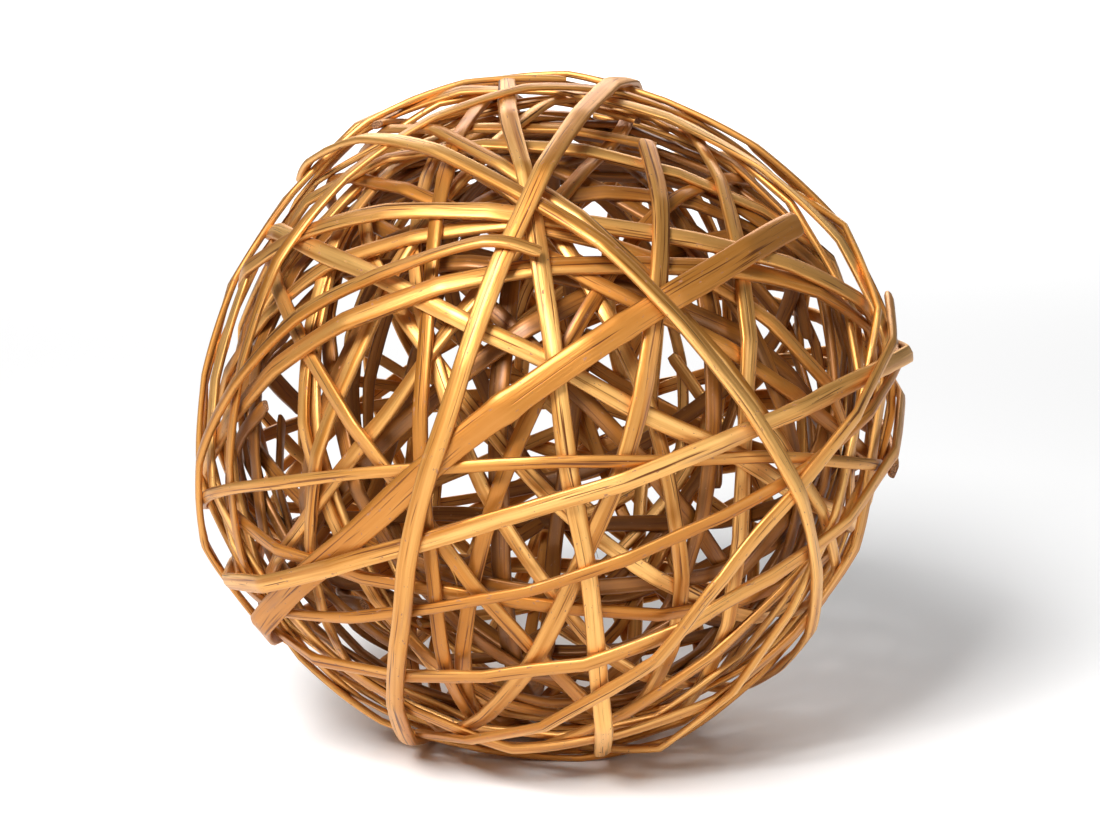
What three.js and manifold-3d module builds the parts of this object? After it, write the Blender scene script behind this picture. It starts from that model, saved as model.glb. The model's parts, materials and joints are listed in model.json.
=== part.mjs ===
// A hollow openwork ball, wound by hand from strips of split willow and painted gold. Every strip is one
// solid. It goes once round the ball and a little more, over the strips wound before it and under those
// wound after it, and its two ends lie side by side or one on the other at the back. Millimetres, +Z up,
// the ball's front towards -Y. The ball rests on z = 0, on the small flats that the ground has worn on its
// lowest strips, and the Z axis runs through the middle of the space that it takes up.
import * as THREE from "three";
import Module from "manifold-3d";
import { mergeVertices } from "three/addons/utils/BufferGeometryUtils.js";

// Driving dimensions.
const NOMINAL_RADIUS = 96; // the middle of the wall, where widths and steps along a strip are measured
const INNERMOST_RADIUS = 84; // of the rough first ball: strips come no nearer to the middle than its surface
const OVAL = 0.035; // how far its two sides stand out, and its top and bottom lie in, as a share of that
const LOBES = 0.045; // how far three fuller places round its outline stand out, in the same way
const LOBE_TURN = 40; // degrees from the right, as seen from the front, up to the first of the three
const WALL_DEPTH = 8; // a first guess of how far the outermost strip lies outside the innermost one
const CENTRE_HEIGHT = 98.2; // the middle of the ball above the ground
const WORN_DEPTH = 0.3; // how much of the lowest strips the ground has worn off
const FACET_ANGLE = 17; // degrees of the ball that one straight facet of a strip takes
const STRIP_GAP = 0.32; // left between two strips where they cross
const THINNEST = 0.75; // a strip's thickness is this and a share of its width
const THICKNESS_SHARE = 0.1;
const LAP = 15; // degrees by which a strip's two ends pass each other
const LAP_SPREAD = 105; // the laps lie within this many degrees of the back
const LAP_PHASE = 0.5; // where in that range the first strip's lap lies, from 0 to 1
const END_SWING = 13; // degrees by which a strip's path swings round by the time it reaches its ends
const GOLD = 0xc08a3e;

// The strips of the outer layers, from the first wound to the last. Each one follows a circle on the ball:
// the longitude and latitude of the circle's pole in degrees, how far its plane stands off the middle of
// the ball towards the pole as a share of the radius, and the strip's width. Two more numbers, where given,
// are the angles where the strip starts and stops, from the foremost point of its circle.
const OUTER_STRIPS = [
  ["inner_slant", -18, 44, 0.2, 4.0],
  ["inner_left_upright", -42, 15, -0.02, 4.2],
  ["inner_left_lean", -55, 15, 0.18, 3.8],
  ["inner_right_lean", -22, 26, 0.16, 3.8],
  ["inner_cross", 35, 12, -0.22, 4.0],
  ["inner_brace", 168, 36, 0.35, 4.0],
  ["inner_curve", 156, 19, -0.26, 4.2],
  ["inner_rim_front", -87, 2, 0.2, 4.2],
  ["inner_rim_back", -92, 4, -0.18, 4.2],
  ["inner_upright", 147, 13, 0.15, 4.2],
  ["inner_belt", -50, 79, -0.25, 3.8],
  ["back_hoop", -89, 12, -0.06, 3.4],
  ["shoulder_band", 30, 58, 0.35, 4.2],
  ["shoulder_hoop", 82, 32, -0.22, 4.0],
  ["top_band", 86, 38, 0.25, 3.8],
  ["left_slant", 0, 37, -0.36, 4.0],
  ["left_upright", -13, 2, -0.14, 4.0],
  ["right_upright", -169, 3, -0.42, 4.6],
  ["right_hoop", -98, 14, 0.27, 3.4],
  ["upper_slant", 27, 60, 0.1, 4.8],
  ["low_sweep", -152, 51, -0.52, 3.8],
  ["bent_arch", 103, 48, -0.07, 5.0],
  ["high_arch", 81, 57, 0.24, 4.7],
  ["twin_slant", 36, 35, 0.14, 3.8],
  ["cut_upright", -161, 18, 0.13, 4.8, -262, 72],
  ["rim_front", -91, 16, 0.29, 4.2],
  ["rim_back", -101, 11, -0.34, 4.2],
  ["middle_upright", 5, 8, -0.01, 4.8],
  ["right_rim", -140, 22, -0.3, 3.6],
  ["under_hoop", -89, 12, 0, 3.6],
  ["left_hoop", 117, 5, 0.0, 3.8],
  ["left_rim", -89, 12, 0.06, 3.4],
  ["thin_belt", 99, 75, -0.18, 3.2],
  ["lower_belt", -154, 69, -0.11, 3.2],
  ["low_belt", -127, 62, -0.17, 4.2],
  ["broad_diagonal", 152, 49, -0.06, 7.2, -266, 69],
  ["rising_belt", 169, 71, -0.1, 4.8],
  ["side_sweep", -176, 41, -0.49, 3.8, 84, -12],
  ["long_slant", 41, 31, -0.02, 4.0],
  ["tall_left", 163, 15, 0.04, 5.1],
  ["thin_arch", 87, 32, -0.33, 3.8, -213, 5],
];

// The side sweep changes course at the bottom, where it runs on along a second circle to its fold: pole,
// offset, and the angles between which it follows that circle.
const SWEEP_TAIL = [-162, 56, -0.46, -8, -62];

// Where the order of winding doesn't hold, because the maker threaded a strip back: [over, under].
const THREADED = [["long_slant", "thin_arch"]];

// The innermost strips, which make the first rough ball. Their poles are spread over the front half of
// the sphere by the golden section, and their planes stand off the middle by turns to either side.
const INNER_COUNT = 16;
const INNER_WIDTHS = [5, 4.6, 4.2];
const INNER_OFFSET = 0.01; // a share of the radius
const INNER_SPREAD = 0.55; // 1 spreads the poles evenly, and less leaves more room round the front
const GOLDEN_SHARE = (Math.sqrt(5) - 1) / 2;

const radians = THREE.MathUtils.degToRad;
const degrees = THREE.MathUtils.radToDeg;
const FRONT = new THREE.Vector3(0, -1, 0);

function direction(longitude, latitude) {
  return new THREE.Vector3(
    Math.cos(radians(latitude)) * Math.cos(radians(longitude)),
    Math.cos(radians(latitude)) * Math.sin(radians(longitude)),
    Math.sin(radians(latitude)),
  );
}

// The unit vectors of a strip's centre line along one circle, one for each end of a facet, evenly spaced.
function circleLine(longitude, latitude, offset, first, last, swing = 0) {
  const pole = direction(longitude, latitude);
  const front = FRONT.clone().addScaledVector(pole, -FRONT.dot(pole)).normalize();
  const side = new THREE.Vector3().crossVectors(pole, front);
  const circleRadius = Math.sqrt(1 - offset * offset);
  const at = (angle) =>
    new THREE.Vector3()
      .addScaledVector(pole, offset)
      .addScaledVector(front, circleRadius * Math.cos(radians(angle)))
      .addScaledVector(side, circleRadius * Math.sin(radians(angle)))
      .applyAxisAngle(front, radians(swing * (angle / 180) ** 3));
  const steps = Math.round((Math.abs(last - first) * circleRadius) / FACET_ANGLE);
  return Array.from({ length: steps + 1 }, (_, i) => at(first + ((last - first) * i) / steps));
}

function makeStrip(name, order, width, line) {
  return { name, order, width, thickness: THINNEST + THICKNESS_SHARE * width, line };
}

// A strip that goes round once. Its ends lap at the back, or it is cut off where its row says so.
function singleTurn(name, order, longitude, latitude, offset, width, cutStart, cutEnd) {
  const lapAngle = 180 + LAP_SPREAD * (2 * ((order * GOLDEN_SHARE + LAP_PHASE) % 1) - 1);
  const first = cutStart ?? lapAngle - 360 - LAP / 2;
  const last = cutEnd ?? lapAngle + LAP / 2;
  const swing = order % 2 ? END_SWING : -END_SWING;
  return makeStrip(name, order, width, circleLine(longitude, latitude, offset, first, last, swing));
}

const strips = [];
for (let i = 0; i < INNER_COUNT; i++) {
  const turn = i * 360 * GOLDEN_SHARE;
  const rise = degrees(Math.asin(Math.pow((i + 0.5) / INNER_COUNT, INNER_SPREAD)));
  const pole = direction(turn, rise).applyAxisAngle(new THREE.Vector3(1, 0, 0), Math.PI / 2);
  const longitude = degrees(Math.atan2(pole.y, pole.x));
  const latitude = degrees(Math.asin(pole.z));
  const name = "first_winding_" + String(i + 1).padStart(2, "0");
  const offset = i % 2 ? INNER_OFFSET : -INNER_OFFSET;
  const width = INNER_WIDTHS[i % INNER_WIDTHS.length];
  strips.push(singleTurn(name, i, longitude, latitude, offset, width));
}
for (const row of OUTER_STRIPS) {
  const [name, longitude, latitude, offset, width, cutStart, cutEnd] = row;
  strips.push(singleTurn(name, strips.length, longitude, latitude, offset, width, cutStart, cutEnd));
}
const sweep = strips.find((strip) => strip.name === "side_sweep");
sweep.line.push(...circleLine(...SWEEP_TAIL).slice(1));

// Which of two strips is the outer one where facet i of one crosses facet j of the other.
const threadedOver = (a, b) => THREADED.some(([over, under]) => over === a.name && under === b.name);
function liesOutside(a, i, b, j, point) {
  if (a === b) return i > j;
  if (point.y < 0 && threadedOver(a, b)) return true;
  if (point.y < 0 && threadedOver(b, a)) return false;
  return a.order > b.order;
}

// The facets of all strips, with what a crossing needs to know of each.
let vertexCount = 0;
for (const strip of strips) {
  strip.firstVertex = vertexCount;
  vertexCount += strip.line.length;
}
const facets = strips.flatMap((strip) =>
  strip.line.slice(1).map((end, i) => {
    const start = strip.line[i];
    const angle = start.angleTo(end);
    const across = new THREE.Vector3().crossVectors(start, end).normalize();
    return {
      strip,
      i,
      start,
      end,
      angle,
      across,
      along: new THREE.Vector3().crossVectors(across, start),
      middle: start.clone().add(end).normalize(),
      vertex: strip.firstVertex + i,
    };
  }),
);

// Where a direction meets a facet: the share of the way along it, or -1 where it passes beside it.
const FACET_REACH = Math.cos(radians(FACET_ANGLE * 0.8));
function shareAlong(facet, point) {
  if (point.dot(facet.middle) < FACET_REACH) return -1;
  if (Math.abs(point.dot(facet.across)) * NOMINAL_RADIUS > facet.strip.width / 2) return -1;
  const share = Math.atan2(point.dot(facet.along), point.dot(facet.start)) / facet.angle;
  return share >= 0 && share <= 1 ? share : -1;
}
// How much nearer to the middle of the ball a straight facet is than a curved strip would be.
const sag = (facet, share) => (share * (1 - share) * facet.angle ** 2 * NOMINAL_RADIUS) / 2;
const apart = (f, g) => f.strip !== g.strip || Math.abs(f.i - g.i) > 2;

// Crossings of two centre lines. All of one crossing has the same strip outside.
const NEARBY = 0.9; // the cosine between the middles of two facets, under which they can't meet
const crossings = new Map();
const pairKey = (f, g) => f.strip.order * strips.length + g.strip.order;
facets.forEach((f, k) => {
  for (const g of facets.slice(k + 1)) {
    if (!apart(f, g) || f.middle.dot(g.middle) < NEARBY) continue;
    const point = new THREE.Vector3().crossVectors(f.across, g.across).normalize();
    if (point.dot(f.middle) < 0) point.negate();
    const inside = [f, g].every((h) => {
      const share = Math.atan2(point.dot(h.along), point.dot(h.start)) / h.angle;
      return share >= 0 && share <= 1;
    });
    if (!inside) continue;
    const fOutside = liesOutside(f.strip, f.i, g.strip, g.i, point);
    const add = (key, outside) => {
      if (!crossings.has(key)) crossings.set(key, []);
      crossings.get(key).push({ point, outside });
    };
    add(pairKey(f, g), fOutside);
    if (f.strip !== g.strip) add(pairKey(g, f), !fOutside);
  }
});

// What lies within this angle of a crossing belongs to it.
const SAME_CROSSING = Math.cos(radians(28));
function outsideHere(f, g, point) {
  let nearest = null;
  let best = SAME_CROSSING;
  for (const crossing of crossings.get(pairKey(f, g)) || []) {
    const closeness = crossing.point.dot(point);
    if (closeness > best) {
      best = closeness;
      nearest = crossing;
    }
  }
  if (!nearest) return liesOutside(f.strip, f.i, g.strip, g.i, point);
  return f.strip === g.strip ? f.i > g.i : nearest.outside;
}

// Contacts: every place where two strips lie one over the other, and how far apart they must be there.
const SAMPLES = 20; // on each facet
const ACROSS = [-0.5, 0, 0.5]; // at the two edges and in the middle
const contacts = [];
for (const f of facets) {
  for (let s = 0; s < SAMPLES; s++) {
    const share = (s + 0.5) / SAMPLES;
    const centre = f.start.clone().multiplyScalar(Math.cos(share * f.angle));
    centre.addScaledVector(f.along, Math.sin(share * f.angle));
    for (const side of ACROSS) {
      const aside = (side * f.strip.width) / NOMINAL_RADIUS;
      const point = centre.clone().addScaledVector(f.across, aside).normalize();
      for (const g of facets) {
        if (!apart(f, g)) continue;
        const other = shareAlong(g, point);
        if (other < 0) continue;
        const spacing = (f.strip.thickness + g.strip.thickness) / 2 + STRIP_GAP;
        const fOver = outsideHere(f, g, point);
        const [over, overShare, under, underShare] = fOver ? [f, share, g, other] : [g, other, f, share];
        const needed = spacing + sag(over, overShare) - sag(under, underShare);
        contacts.push({ over: over.vertex, overShare, under: under.vertex, underShare, needed });
      }
    }
  }
}

// The distance of every vertex from the middle of the ball, settled like strips under a light pull. On the
// underside the ground sets a limit to it.
const UNDERSIDE = -0.5; // the height of a direction, as a share of the radius, under which that is so

// How far the surface of the rough first ball lies from the middle in a direction. It isn't quite round.
function leastRadius(p) {
  const turn = Math.atan2(p.z, p.x);
  const outline = Math.hypot(p.x, p.z);
  const oval = OVAL * outline ** 2 * Math.cos(2 * turn);
  const lobes = LOBES * outline ** 3 * Math.cos(3 * (turn - radians(LOBE_TURN)));
  return INNERMOST_RADIUS * (1 + oval + lobes);
}

const radius = new Float64Array(vertexCount);
const least = new Float64Array(vertexCount);
const limit = new Float64Array(vertexCount).fill(Infinity);
for (const strip of strips) {
  strip.line.forEach((p, i) => {
    const v = strip.firstVertex + i;
    least[v] = leastRadius(p);
    radius[v] = least[v] + (strip.order / strips.length) * WALL_DEPTH;
    if (p.z < UNDERSIDE) limit[v] = (CENTRE_HEIGHT + WORN_DEPTH) / -p.z - strip.thickness / 2;
  });
}

// Pushes the two strips of every contact apart, the inner one by this share. Returns the worst overlap.
const MOST_PUSH = 0.5; // in one round
function press(share) {
  let worst = 0;
  for (const c of contacts) {
    const over = (1 - c.overShare) * radius[c.over] + c.overShare * radius[c.over + 1];
    const under = (1 - c.underShare) * radius[c.under] + c.underShare * radius[c.under + 1];
    const short = Math.min(c.needed - (over - under), MOST_PUSH);
    if (short <= 0) continue;
    worst = Math.max(worst, short);
    const overSquares = (1 - c.overShare) ** 2 + c.overShare ** 2;
    const underSquares = (1 - c.underShare) ** 2 + c.underShare ** 2;
    const up = (short * (1 - share)) / overSquares;
    const down = (short * share) / underSquares;
    radius[c.over] += up * (1 - c.overShare);
    radius[c.over + 1] += up * c.overShare;
    radius[c.under] -= down * (1 - c.underShare);
    radius[c.under + 1] -= down * c.underShare;
  }
  return worst;
}

const SETTLING_ROUNDS = 900;
const SETTLING_SHARE = 0.4;
const STIFFNESS = 0.02; // how fast a strip straightens
const PULL = 0.02; // how far it is drawn in a round
for (let round = 0; round < SETTLING_ROUNDS; round++) {
  for (const strip of strips) {
    const n = strip.line.length;
    for (let i = 0; i < n; i++) {
      const v = strip.firstVertex + i;
      const before = i > 0 ? radius[v - 1] : radius[v + 1];
      const after = i < n - 1 ? radius[v + 1] : radius[v - 1];
      radius[v] += STIFFNESS * ((before + after) / 2 - radius[v]) - PULL;
      radius[v] = Math.min(Math.max(radius[v], least[v]), limit[v]);
    }
  }
  press(SETTLING_SHARE);
}

const FINAL_ROUNDS = 1500;
const FINAL_SHARE = 0.3;
const CLOSE_ENOUGH = 0.01;
let worst = Infinity;
for (let round = 0; round < FINAL_ROUNDS && worst > CLOSE_ENOUGH; round++) {
  worst = press(FINAL_SHARE);
  radius.forEach((r, v) => {
    radius[v] = Math.min(r, limit[v]);
  });
}

// One strip's solid: a rectangular section at each vertex, joined by straight facets.
const SECTION_CORNERS = [[-1, -1], [1, -1], [1, 1], [-1, 1]]; // across and outwards, in half sizes
function stripGeometry(strip) {
  const n = strip.line.length;
  const positions = [];
  for (let i = 0; i < n; i++) {
    const out = strip.line[i];
    const before = strip.line[Math.max(i - 1, 0)];
    const after = strip.line[Math.min(i + 1, n - 1)];
    const across = new THREE.Vector3().crossVectors(out, after.clone().sub(before)).normalize();
    for (const [side, level] of SECTION_CORNERS) {
      const corner = out
        .clone()
        .multiplyScalar(radius[strip.firstVertex + i] + (level * strip.thickness) / 2)
        .addScaledVector(across, (side * strip.width) / 2);
      positions.push(corner.x, corner.y, corner.z + CENTRE_HEIGHT);
    }
  }
  const faces = [];
  for (let i = 0; i < n - 1; i++) {
    for (let k = 0; k < 4; k++) {
      const a = 4 * i + k;
      const b = 4 * i + ((k + 1) % 4);
      faces.push(a, b, b + 4, a, b + 4, a + 4);
    }
  }
  const last = 4 * (n - 1);
  faces.push(0, 2, 1, 0, 3, 2, last, last + 1, last + 2, last, last + 2, last + 3);
  const geometry = new THREE.BufferGeometry();
  geometry.setAttribute("position", new THREE.Float32BufferAttribute(positions, 3));
  geometry.setIndex(faces);
  return geometry;
}

const manifold = await Module();
manifold.setup();
const SAME_VERTEX = 1e-4;
function solidOf(geometry) {
  const merged = mergeVertices(geometry, SAME_VERTEX);
  return new manifold.Manifold(
    new manifold.Mesh({
      numProp: 3,
      vertProperties: merged.attributes.position.array,
      triVerts: new Uint32Array(merged.index.array),
    }),
  );
}
const SPACE = 400; // more than the ball takes up
const aboveGround = new THREE.BoxGeometry(SPACE, SPACE, SPACE).translate(0, 0, SPACE / 2);
aboveGround.deleteAttribute("normal");
aboveGround.deleteAttribute("uv");
const aboveGroundSolid = solidOf(aboveGround);

// What the ground has worn off the strips of the underside.
function wornFlat(geometry) {
  geometry.computeBoundingBox();
  if (geometry.boundingBox.min.z >= 0) return geometry;
  const mesh = solidOf(geometry).intersect(aboveGroundSolid).getMesh();
  const worn = new THREE.BufferGeometry();
  worn.setAttribute("position", new THREE.BufferAttribute(mesh.vertProperties, 3));
  worn.setIndex(new THREE.BufferAttribute(mesh.triVerts, 1));
  return worn;
}

const ball = new THREE.Group();
for (const strip of strips) {
  const material = new THREE.MeshStandardMaterial({ color: GOLD, roughness: 0.38, metalness: 0.6 });
  const mesh = new THREE.Mesh(wornFlat(stripGeometry(strip)), material);
  mesh.name = strip.name;
  ball.add(mesh);
}

// The Z axis runs through the middle of the space that the ball takes up.
const middle = new THREE.Box3().setFromObject(ball).getCenter(new THREE.Vector3());
ball.position.set(-middle.x, -middle.y, 0);

export default ball;
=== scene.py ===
import json
import math
import random

import bmesh
import bpy
import numpy as np
from mathutils import Matrix, Vector


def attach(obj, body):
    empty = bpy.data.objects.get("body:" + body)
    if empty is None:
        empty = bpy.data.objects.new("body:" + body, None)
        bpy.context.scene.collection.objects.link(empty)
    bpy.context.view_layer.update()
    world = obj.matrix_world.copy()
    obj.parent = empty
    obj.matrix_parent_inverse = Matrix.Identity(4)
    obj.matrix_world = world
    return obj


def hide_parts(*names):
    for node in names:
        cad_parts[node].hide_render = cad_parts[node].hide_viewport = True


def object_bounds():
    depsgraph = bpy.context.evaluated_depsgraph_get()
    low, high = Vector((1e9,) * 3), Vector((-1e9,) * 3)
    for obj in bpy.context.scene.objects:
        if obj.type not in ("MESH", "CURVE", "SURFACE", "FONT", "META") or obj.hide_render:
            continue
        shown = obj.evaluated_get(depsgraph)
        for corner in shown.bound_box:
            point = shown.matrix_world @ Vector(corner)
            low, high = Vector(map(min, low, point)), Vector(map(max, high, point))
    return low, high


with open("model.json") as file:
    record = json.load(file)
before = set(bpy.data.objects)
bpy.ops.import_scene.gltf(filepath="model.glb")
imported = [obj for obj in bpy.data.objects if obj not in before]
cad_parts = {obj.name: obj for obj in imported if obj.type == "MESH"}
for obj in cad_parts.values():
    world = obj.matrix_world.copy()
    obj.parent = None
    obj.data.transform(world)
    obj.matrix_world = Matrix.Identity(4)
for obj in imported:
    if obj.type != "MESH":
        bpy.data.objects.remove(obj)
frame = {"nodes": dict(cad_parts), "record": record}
cad_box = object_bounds()

# ----------------------------------------------------------------------------------------------------
# The camera. It stands a little above the ball's middle and looks straight at it through a long lens,
# so that the ball nearly fills the frame and its far side is seen through the gaps.

inside_low, inside_high = frame["record"]["physics"]["openings"][0]["box_m"]
BALL_CENTRE = (Vector(inside_low) + Vector(inside_high)) / 2
LOOK_AT = BALL_CENTRE + Vector((0.0006, 0, 0.0012))
CAMERA_DISTANCE = 0.772
CAMERA_ELEVATION = math.radians(12)

camera_data = bpy.data.cameras.new("camera")
camera_data.lens = 85
camera_data.sensor_width = 36
camera_data.clip_start = 0.01
camera = bpy.data.objects.new("camera", camera_data)
bpy.context.scene.collection.objects.link(camera)
towards_camera = Vector((0, -math.cos(CAMERA_ELEVATION), math.sin(CAMERA_ELEVATION)))
camera.location = LOOK_AT + CAMERA_DISTANCE * towards_camera
camera.rotation_euler = (math.pi / 2 - CAMERA_ELEVATION, 0, 0)
bpy.context.scene.camera = camera

# ----------------------------------------------------------------------------------------------------
# The lines of the strips. Each strip is willow, split lengthways and soaked, then bent round the ball
# over the strips that are already there. The frame holds it as a chain of straight facets, whose inner
# faces give its line and its width.

STEPS_PER_FACET = 12
LONGEST_END_EDGE = 0.012  # an end is a strip's width across, and a facet is longer than this
SAME_CORNER = 2e-6  # corners of the facets nearer to each other than this are one
WANDER = 0.0006  # how far a strip strays to either side of its line
WANDER_LENGTH = 0.09


def facet_sections(node):
    """The two inner corners of every section of a strip, in order, and the strip's thickness."""
    bm = bmesh.new()
    bm.from_mesh(node.data)
    bmesh.ops.remove_doubles(bm, verts=bm.verts, dist=SAME_CORNER)
    bm.normal_update()
    inner = set()
    for face in bm.faces:
        outwards = (face.calc_center_median() - BALL_CENTRE).normalized()
        if face.normal.dot(outwards) < -0.8:
            inner.add(face)
    rail = {edge for edge in bm.edges if sum(face in inner for face in edge.link_faces) == 1}
    ends = [edge for edge in bm.edges if edge in rail and edge.calc_length() < LONGEST_END_EDGE]
    start = max(ends, key=lambda edge: tuple(sum((v.co for v in edge.verts), Vector())))
    left, right = sorted(start.verts, key=lambda v: tuple(v.co))
    cap = next(face for face in start.link_faces if face not in inner)
    cap_point = max((v.co for v in cap.verts), key=lambda co: (co - BALL_CENTRE).length)
    thickness = (cap_point - BALL_CENTRE).length - (left.co - BALL_CENTRE).length
    face = next(face for face in start.link_faces if face in inner)
    corners = [(left.co.copy(), right.co.copy())]
    seen = 0
    while face is not None:
        third = next(v for v in face.verts if v not in (left, right))
        if any(edge in rail and edge.other_vert(left) is third for edge in left.link_edges):
            left = third
        else:
            right = third
        seen += 1
        if seen % 2 == 0:
            corners.append((left.co.copy(), right.co.copy()))
        across = next(edge for edge in left.link_edges if edge.other_vert(left) is right)
        others = [other for other in across.link_faces if other in inner and other is not face]
        face = others[0] if others else None
    bm.free()
    return corners, thickness


def rounded(values, steps):
    """A smooth curve through evenly spaced values, with so many steps from one to the next."""
    ends = np.concatenate([[2 * values[0] - values[1]], values, [2 * values[-1] - values[-2]]])
    count = len(values) - 1
    at = np.linspace(0, count, count * steps + 1)
    i = np.minimum(at.astype(int), count - 1)
    t = (at - i).reshape([-1] + [1] * (values.ndim - 1))
    a, b, c, d = (ends[i + k] for k in range(4))
    return b + 0.5 * t * (c - a + t * (2 * a - 5 * b + 4 * c - d + t * (3 * (b - c) + d - a)))


def slow_noise(rng, lengths, wavelength):
    """A smooth irregular wave along a strip, between about -1 and 1."""
    waves = [(rng.uniform(0.6, 1.6), rng.uniform(0, 2 * math.pi)) for _ in range(4)]
    return sum(np.sin(2 * math.pi * lengths * k / wavelength + turn) for k, turn in waves) / 2.6


def unit(vectors):
    return vectors / np.linalg.norm(vectors, axis=1, keepdims=True)


strips = []
centre = np.array(BALL_CENTRE)
for number, name in enumerate(sorted(frame["nodes"])):
    rng = random.Random(number + 11)
    corners, thickness = facet_sections(frame["nodes"][name])
    pairs = np.array([[tuple(left), tuple(right)] for left, right in corners]) - centre
    middles = pairs.mean(axis=1)
    out = unit(middles)
    middles = middles + out * thickness / 2
    width = float(np.median(np.linalg.norm(pairs[:, 0] - pairs[:, 1], axis=1)))
    radius = np.linalg.norm(middles, axis=1)
    directions = unit(rounded(out, STEPS_PER_FACET))
    along = np.concatenate([[0], np.cumsum(np.linalg.norm(np.diff(directions, axis=0), axis=1))])
    along *= radius.mean()
    side = unit(np.cross(directions, np.gradient(directions, axis=0)))
    stray = WANDER * slow_noise(rng, along, WANDER_LENGTH) / radius.mean()
    directions = unit(directions + side * stray[:, None])
    at = np.linspace(0, len(middles) - 1, len(directions))
    i = np.minimum(at.astype(int), len(middles) - 2)
    facet_points = middles[i] + (middles[i + 1] - middles[i]) * (at - i)[:, None]
    strips.append({
        "name": name,
        "rng": rng,
        "width": width,
        "thickness": thickness,
        "directions": directions,
        "facet_radius": np.linalg.norm(facet_points, axis=1),
        "smooth_radius": rounded(radius, STEPS_PER_FACET),
    })

# ----------------------------------------------------------------------------------------------------
# The pressing. The wound strips press on each other until each lies close on the ones under it. Which
# of two strips is the outer one comes from the facets, and rounding a strip's facets off moves it a
# little, so the strips are pushed apart again wherever they cross.

ROUNDER = 1.95  # a strip's rounded back makes it this much thicker than its flat facets
NESTING = 0.78  # rounded backs lie a little closer together than their full thickness
SETTLING_ROUNDS = 420
OVERLAP_SHARE = 0.8  # of the two half widths, within which two strips bear on each other
LEAST_APART = 0.6  # of their spacing, under which two facets lie side by side instead
MOST_APART = 12  # of their spacings, over which the outer one bears on others instead
OUTER_SHARE = 0.3  # of a push, that moves the outer strip out, and the rest moves the inner one in
MOST_PUSH = 0.0006  # in one round
DRAWN_IN = 0.0003  # that the maker's pull draws every strip in before the strips are pushed apart

counts = [len(strip["directions"]) for strip in strips]
starts = np.concatenate([[0], np.cumsum(counts)])
owner = np.repeat(np.arange(len(strips)), counts)
place = np.concatenate([np.arange(count) for count in counts])
directions = np.concatenate([strip["directions"] for strip in strips])
facet_radius = np.concatenate([strip["facet_radius"] for strip in strips])
smooth_radius = np.concatenate([strip["smooth_radius"] for strip in strips])
half_width = np.repeat([strip["width"] / 2 for strip in strips], counts)
half_thick = np.repeat([strip["thickness"] / 2 for strip in strips], counts)
middle_radius = facet_radius.mean()

over, under = [], []
for first in range(0, len(directions), 500):
    block = slice(first, min(first + 500, len(directions)))
    distance = np.sqrt(np.maximum(2 - 2 * directions[block] @ directions.T, 0)) * middle_radius
    reach = OVERLAP_SHARE * (half_width[block][:, None] + half_width[None, :])
    a, b = np.nonzero(distance < reach)
    a = a + first
    lift = facet_radius[a] - facet_radius[b]
    spacing = half_thick[a] + half_thick[b]
    apart = (owner[a] != owner[b]) | (np.abs(place[a] - place[b]) > 2 * STEPS_PER_FACET)
    keep = apart & (lift > LEAST_APART * spacing) & (lift < MOST_APART * spacing)
    over.append(a[keep])
    under.append(b[keep])
over = np.concatenate(over)
under = np.concatenate(under)
needed = NESTING * ROUNDER * (half_thick[over] + half_thick[under])

# Some strips keep more of the creases from being bent over others, and some are rounder.
crease = np.repeat([strip["rng"].uniform(0.35, 0.85) for strip in strips], counts)
settled = crease * facet_radius + (1 - crease) * smooth_radius - DRAWN_IN
push_count = np.maximum(np.bincount(over, minlength=len(owner)), 1)
pull_count = np.maximum(np.bincount(under, minlength=len(owner)), 1)
inside_strip = np.ones(len(owner), bool)
inside_strip[starts[:-1]] = False
inside_strip[starts[1:] - 1] = False
middle = np.nonzero(inside_strip)[0]
moved = np.zeros(len(owner))
for _ in range(SETTLING_ROUNDS):
    radius = settled + moved
    short = np.clip(needed - (radius[over] - radius[under]), 0, MOST_PUSH)
    moved += OUTER_SHARE * np.bincount(over, short, len(owner)) / push_count
    moved -= (1 - OUTER_SHARE) * np.bincount(under, short, len(owner)) / pull_count
    evened = moved.copy()
    evened[middle] = (moved[middle - 1] + 2 * moved[middle] + moved[middle + 1]) / 4
    moved = evened
final_radius = settled + moved

# ----------------------------------------------------------------------------------------------------
# The gold paint. The finished ball is sprayed with thin metallic paint, which leaves the grain of the
# wood open: brown lines show along the strips, the ridges shine, bare specks and patches show brown,
# and cut ends stay brown.


def socket(group, name, kind, direction, value=None):
    made = group.interface.new_socket(name=name, in_out=direction, socket_type=kind)
    if value is not None:
        made.default_value = value


def link(tree, source, target):
    tree.links.new(source, target)


def mixed(tree, factor, low, high):
    """A colour between two others, by a value or a socket."""
    node = tree.nodes.new("ShaderNodeMix")
    node.data_type = "RGBA"
    link(tree, factor, node.inputs[0])
    for value, target in ((low, node.inputs[6]), (high, node.inputs[7])):
        if isinstance(value, tuple):
            target.default_value = (*value, 1)
        else:
            link(tree, value, target)
    return node.outputs[2]


def ramp(tree, source, low, high):
    """A value that rises from 0 to 1 as the source goes from low to high."""
    node = tree.nodes.new("ShaderNodeMapRange")
    node.interpolation_type = "SMOOTHSTEP"
    link(tree, source, node.inputs[0])
    node.inputs[1].default_value = low
    node.inputs[2].default_value = high
    return node.outputs[0]


def noise(tree, vector, stretch, detail, rough=0.55):
    """Noise on the straight rod, so many cells a metre along it, across it and through it."""
    mapping = tree.nodes.new("ShaderNodeMapping")
    mapping.inputs["Scale"].default_value = stretch
    link(tree, vector, mapping.inputs["Vector"])
    node = tree.nodes.new("ShaderNodeTexNoise")
    node.inputs["Scale"].default_value = 1
    node.inputs["Detail"].default_value = detail
    node.inputs["Roughness"].default_value = rough
    link(tree, mapping.outputs[0], node.inputs["Vector"])
    return node.outputs["Fac"]


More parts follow.
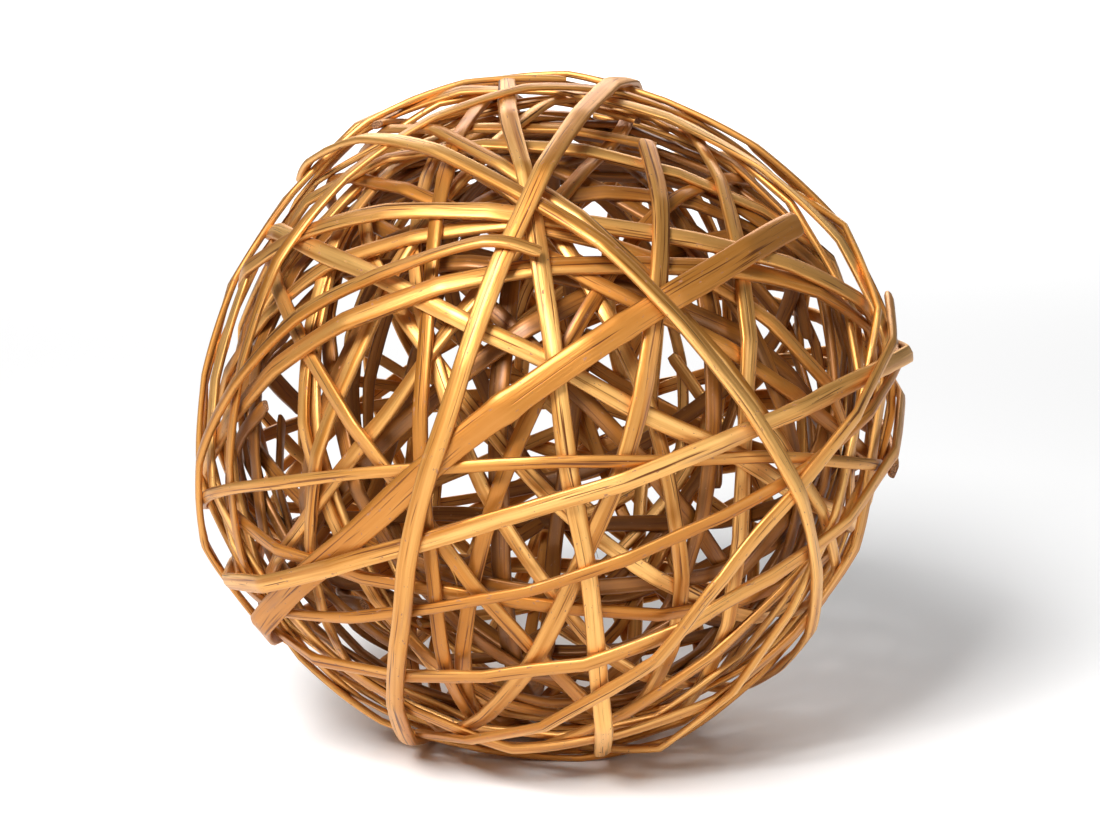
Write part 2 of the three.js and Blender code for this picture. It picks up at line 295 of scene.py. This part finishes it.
def arithmetic(tree, operation, first, second):
    node = tree.nodes.new("ShaderNodeMath")
    node.operation = operation
    for value, target in ((first, node.inputs[0]), (second, node.inputs[1])):
        if isinstance(value, (int, float)):
            target.default_value = value
        else:
            link(tree, value, target)
    return node.outputs[0]


grain = bpy.data.node_groups.new("willow_grain", "ShaderNodeTree")
socket(grain, "Rod", "NodeSocketVector", "INPUT")
for output in ("Lines", "Streaks", "Bare", "Height"):
    socket(grain, output, "NodeSocketFloat", "OUTPUT")
rod = grain.nodes.new("NodeGroupInput").outputs["Rod"]
result = grain.nodes.new("NodeGroupOutput")
parts = grain.nodes.new("ShaderNodeSeparateXYZ")
link(grain, rod, parts.inputs[0])
fine_lines = ramp(grain, noise(grain, rod, (24, 1100, 1100), 2), 0.28, 0.42)
drift = arithmetic(grain, "SUBTRACT", noise(grain, rod, (12, 30, 30), 1), 0.5)
drift = arithmetic(grain, "MULTIPLY", drift, 0.007)
from_crack = arithmetic(grain, "ABSOLUTE", arithmetic(grain, "SUBTRACT", parts.outputs[1], drift), 0)
crack = ramp(grain, from_crack, 0.00003, 0.0002)
whole = ramp(grain, noise(grain, rod, (40, 20, 20), 1), 0.4, 0.5)
unbroken = arithmetic(grain, "MAXIMUM", crack, whole)
lines = arithmetic(grain, "MULTIPLY", fine_lines, unbroken)
streaks = ramp(grain, noise(grain, rod, (10, 420, 420), 4), 0.3, 0.7)
specks = ramp(grain, noise(grain, rod, (420, 900, 900), 2, 0.7), 0.65, 0.72)
patches = ramp(grain, noise(grain, rod, (20, 160, 160), 3), 0.62, 0.8)
bare = arithmetic(grain, "MAXIMUM", specks, patches)
fibres = noise(grain, rod, (50, 1500, 1500), 4)
ripples = noise(grain, rod, (90, 380, 380), 3)
height = arithmetic(grain, "ADD", arithmetic(grain, "MULTIPLY", lines, 0.6), fibres)
height = arithmetic(grain, "ADD", height, arithmetic(grain, "MULTIPLY", ripples, 1.6))
link(grain, lines, result.inputs["Lines"])
link(grain, streaks, result.inputs["Streaks"])
link(grain, bare, result.inputs["Bare"])
link(grain, height, result.inputs["Height"])

# The first windings, deep in the wall, get a darker and duller gold. This is painted shade for the
# depth of the wall, where little light reaches, and also the thin paint the spray leaves there through
# the gaps.
BRIGHT_GOLD = (0.97, 0.56, 0.175)
DEEP_GOLD = (0.5, 0.185, 0.022)
# the darkest gold of the first windings: painted shade deep in the wall
WALL_SHADE_GOLD = (0.2, 0.075, 0.014)
GRAIN_BROWN = (0.16, 0.045, 0.006)
BARE_WILLOW = (0.33, 0.14, 0.06)


def gold_paint(name, shade, shine, brightest=BRIGHT_GOLD, deepest=DEEP_GOLD):
    """Gold paint on willow; shade takes the colour towards the deepest, shine is the paint's metal."""
    material = bpy.data.materials.new(name)
    material.use_nodes = True
    tree = material.node_tree
    shader = tree.nodes["Principled BSDF"]
    rod_place = tree.nodes.new("ShaderNodeAttribute")
    rod_place.attribute_name = "rod"
    wood = tree.nodes.new("ShaderNodeGroup")
    wood.node_tree = grain
    link(tree, rod_place.outputs["Vector"], wood.inputs["Rod"])
    light = tuple(a + (b - a) * shade for a, b in zip(brightest, deepest))
    paint = mixed(tree, wood.outputs["Streaks"], deepest, light)
    painted = mixed(tree, wood.outputs["Lines"], GRAIN_BROWN, paint)
    colour = mixed(tree, wood.outputs["Bare"], painted, BARE_WILLOW)
    link(tree, colour, shader.inputs["Base Color"])
    covered = arithmetic(tree, "SUBTRACT", 1, wood.outputs["Bare"])
    metal = arithmetic(tree, "MULTIPLY", covered, shine)
    link(tree, metal, shader.inputs["Metallic"])
    dullness = arithmetic(tree, "MULTIPLY_ADD", wood.outputs["Bare"], 0.3)
    dullness.node.inputs[2].default_value = 0.48
    link(tree, dullness, shader.inputs["Roughness"])
    shader.inputs["Coat Weight"].default_value = 0.3
    shader.inputs["Coat Roughness"].default_value = 0.32
    bump = tree.nodes.new("ShaderNodeBump")
    bump.inputs["Strength"].default_value = 0.5
    bump.inputs["Distance"].default_value = 0.0002
    link(tree, wood.outputs["Height"], bump.inputs["Height"])
    link(tree, bump.outputs["Normal"], shader.inputs["Normal"])
    return material


paints = [
    gold_paint("gold_bright", 0.0, 0.82),
    gold_paint("gold_even", 0.45, 0.78),
    gold_paint("gold_deep", 0.85, 0.7),
]
# The first windings' paint is darker and duller: painted shade for the depth of the wall.
inner_shade_paint = gold_paint("gold_inner_painted_shade", 0.3, 0.45, DEEP_GOLD, WALL_SHADE_GOLD)

cut_wood = bpy.data.materials.new("cut_willow")
cut_wood.use_nodes = True
cut_tree = cut_wood.node_tree
cut_shader = cut_tree.nodes["Principled BSDF"]
cut_place = cut_tree.nodes.new("ShaderNodeAttribute")
cut_place.attribute_name = "rod"
pores = ramp(cut_tree, noise(cut_tree, cut_place.outputs["Vector"], (900, 2600, 2600), 2), 0.4, 0.62)
cut_colour = mixed(cut_tree, pores, (0.10, 0.036, 0.012), (0.36, 0.17, 0.07))
link(cut_tree, cut_colour, cut_shader.inputs["Base Color"])
cut_shader.inputs["Roughness"].default_value = 0.75

# ----------------------------------------------------------------------------------------------------
# The strips. A strip is a rod of willow split in two, with a round back, a flatter face and blunt
# edges. It starts as a straight rod and is bent along its line. Its width and its roll change a little
# on the way, it thins towards its tip, and its ends are cut off square and narrow a little towards the
# cut.

BROADER = 1.08  # than its facets
AROUND = 16
END_TAPER = 0.0016
KNOTS = 4
KNOT_LENGTH = 0.0025
FIBRE_SHARE = 0.3  # of the strips have a fibre torn up


def split_rod(steps, ridge):
    """A straight rod from z = 0 to 1, of half width 1 and half thickness 1, with its ridge at x."""
    bm = bmesh.new()
    bmesh.ops.create_circle(bm, cap_ends=True, segments=AROUND, radius=1)
    for vert in bm.verts:
        x, y = vert.co.x, vert.co.y
        vert.co.x = math.copysign(abs(x) ** 0.62, x)
        vert.co.y = math.copysign(abs(y) ** 0.42, y)
        if y > 0:
            vert.co.y *= 1 - 0.45 * abs(vert.co.x - ridge)
    end = bmesh.ops.extrude_face_region(bm, geom=bm.faces[:])
    moved_end = [item for item in end["geom"] if isinstance(item, bmesh.types.BMVert)]
    bmesh.ops.translate(bm, verts=moved_end, vec=(0, 0, 1))
    long_edges = [edge for edge in bm.edges if abs(edge.verts[0].co.z - edge.verts[1].co.z) > 0.5]
    rims = [edge for edge in bm.edges if edge not in set(long_edges)]
    for edge in rims:
        edge.smooth = False
    bmesh.ops.subdivide_edges(bm, edges=long_edges, cuts=steps - 1)
    bmesh.ops.recalc_face_normals(bm, faces=bm.faces)
    for face in bm.faces:
        face.smooth = len(face.verts) == 4
        face.material_index = 0 if face.smooth else 1
    return bm


def add_fibre(bm, foot, stations, side):
    """A fibre torn up from the edge of the rod: it tapers, and leans out more and more."""
    ring = bmesh.ops.create_circle(bm, cap_ends=True, segments=5, radius=1)
    verts = ring["verts"]
    bmesh.ops.scale(bm, vec=(0.07, 0.12, 1), verts=verts)
    bmesh.ops.translate(bm, vec=(0.9 * side, 0.3, foot / stations), verts=verts)
    rest = [face for face in bm.faces if all(vert in verts for vert in face.verts)]
    for lean in (0.12, 0.3, 0.6):
        grown = bmesh.ops.extrude_face_region(bm, geom=rest)
        verts = [item for item in grown["geom"] if isinstance(item, bmesh.types.BMVert)]
        rest = [item for item in grown["geom"] if isinstance(item, bmesh.types.BMFace)]
        bmesh.ops.translate(bm, vec=(lean * side, 2.2 * lean, 1 / stations), verts=verts)
        middle = sum((vert.co for vert in verts), Vector()) / len(verts)
        shift = Matrix.Translation(-middle)
        bmesh.ops.scale(bm, vec=(0.7, 0.7, 1), space=shift, verts=verts)
    bmesh.ops.recalc_face_normals(bm, faces=bm.faces)


for number, strip in enumerate(strips):
    rng = strip["rng"]
    line = strip["directions"]
    radius = final_radius[starts[number]:starts[number + 1]]
    points = line * radius[:, None]
    ahead = unit(np.gradient(points, axis=0))
    across = unit(np.cross(line, ahead))
    upward = unit(np.cross(ahead, across))
    along = np.concatenate([[0], np.cumsum(np.linalg.norm(np.diff(points, axis=0), axis=1))])
    length = along[-1]

    roll = 0.16 * slow_noise(rng, along, 0.11)
    across, upward = (
        across * np.cos(roll)[:, None] + upward * np.sin(roll)[:, None],
        upward * np.cos(roll)[:, None] - across * np.sin(roll)[:, None],
    )
    tip = along if rng.random() < 0.5 else length - along
    thinning = 1 - 0.14 * np.clip(1 - tip / (0.35 * length), 0, 1)
    knot = sum(np.exp(-((along - rng.uniform(0, length)) / KNOT_LENGTH) ** 2) for _ in range(KNOTS))
    wide = strip["width"] / 2 * BROADER * thinning
    wide = wide * (1 + 0.05 * slow_noise(rng, along, 0.05) + 0.08 * knot)
    thick = strip["thickness"] / 2 * ROUNDER
    thick = thick * (1 + 0.08 * slow_noise(rng, along, 0.035) + 0.12 * knot)
    from_end = np.minimum(along, length - along)
    blunt = 0.78 + 0.22 * np.clip(from_end / END_TAPER, 0, 1) ** 0.5

    stations = len(points) - 1
    bm = split_rod(stations, rng.uniform(-0.6, 0.6))
    if rng.random() < FIBRE_SHARE:
        add_fibre(bm, rng.randrange(10, stations - 10), stations, rng.choice((-1, 1)))
    mesh = bpy.data.meshes.new(strip["name"] + "_willow")
    bm.to_mesh(mesh)
    bm.free()
    co = np.empty(len(mesh.vertices) * 3)
    mesh.vertices.foreach_get("co", co)
    x, y, z = co.reshape(-1, 3).T
    station = np.rint(z * stations).astype(int)
    sideways = x * wide[station] * blunt[station]
    outward = y * thick[station] * blunt[station]
    bent = points[station] + across[station] * sideways[:, None] + upward[station] * outward[:, None]
    bent += centre
    bent = np.clip(bent, cad_box[0], cad_box[1])
    mesh.vertices.foreach_set("co", bent.ravel())
    rod_attribute = mesh.attributes.new("rod", "FLOAT_VECTOR", "POINT")
    rod_place = np.stack([along[station] + number, sideways, outward], axis=1)
    rod_attribute.data.foreach_set("vector", rod_place.ravel())
    mesh.update()

    piece = bpy.data.objects.new(strip["name"] + "_willow", mesh)
    bpy.context.scene.collection.objects.link(piece)
    paint = paints[rng.choice((0, 0, 1, 1, 2))]
    # The first windings get the darker paint, painted shade for the depth of the wall.
    mesh.materials.append(inner_shade_paint if strip["name"].startswith("first_winding") else paint)
    mesh.materials.append(cut_wood)
    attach(piece, "root")
    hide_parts(strip["name"])

# ----------------------------------------------------------------------------------------------------
# The studio. A pale sheet lies under the ball and runs back to the horizon. A large soft light stands
# in front on the left, a weaker one on the right, and a pale room fills in the shadows.

FLOOR_SIZE = 12

floor_bm = bmesh.new()
bmesh.ops.create_grid(floor_bm, x_segments=1, y_segments=1, size=FLOOR_SIZE / 2)
floor_mesh = bpy.data.meshes.new("floor")
floor_bm.to_mesh(floor_mesh)
floor_bm.free()
floor = bpy.data.objects.new("floor", floor_mesh)
bpy.context.scene.collection.objects.link(floor)
paper = bpy.data.materials.new("pale_paper")
paper.use_nodes = True
paper.node_tree.nodes["Principled BSDF"].inputs["Base Color"].default_value = (0.93, 0.93, 0.93, 1)
paper.node_tree.nodes["Principled BSDF"].inputs["Roughness"].default_value = 0.9
floor_mesh.materials.append(paper)


def soft_light(name, place, size, power, target):
    data = bpy.data.lights.new(name, "AREA")
    data.size = size
    data.energy = power
    light = bpy.data.objects.new(name, data)
    light.location = place
    light.rotation_euler = (Vector(target) - Vector(place)).to_track_quat("-Z", "Y").to_euler()
    bpy.context.scene.collection.objects.link(light)


soft_light("key_light", (-0.42, -0.85, 0.95), 0.45, 24.8, BALL_CENTRE)
soft_light("fill_light", (0.8, -0.75, 0.4), 0.4, 1.8, BALL_CENTRE)
soft_light("sheet_light", (0, 3.4, 2.0), 3.5, 190, (0, 3.8, 0))

room = bpy.data.worlds.new("pale_room")
room.use_nodes = True
room.node_tree.nodes["Background"].inputs["Color"].default_value = (1, 1, 1, 1)
room.node_tree.nodes["Background"].inputs["Strength"].default_value = 0.09
bpy.context.scene.world = room
bpy.context.scene.view_settings.view_transform = "Standard"
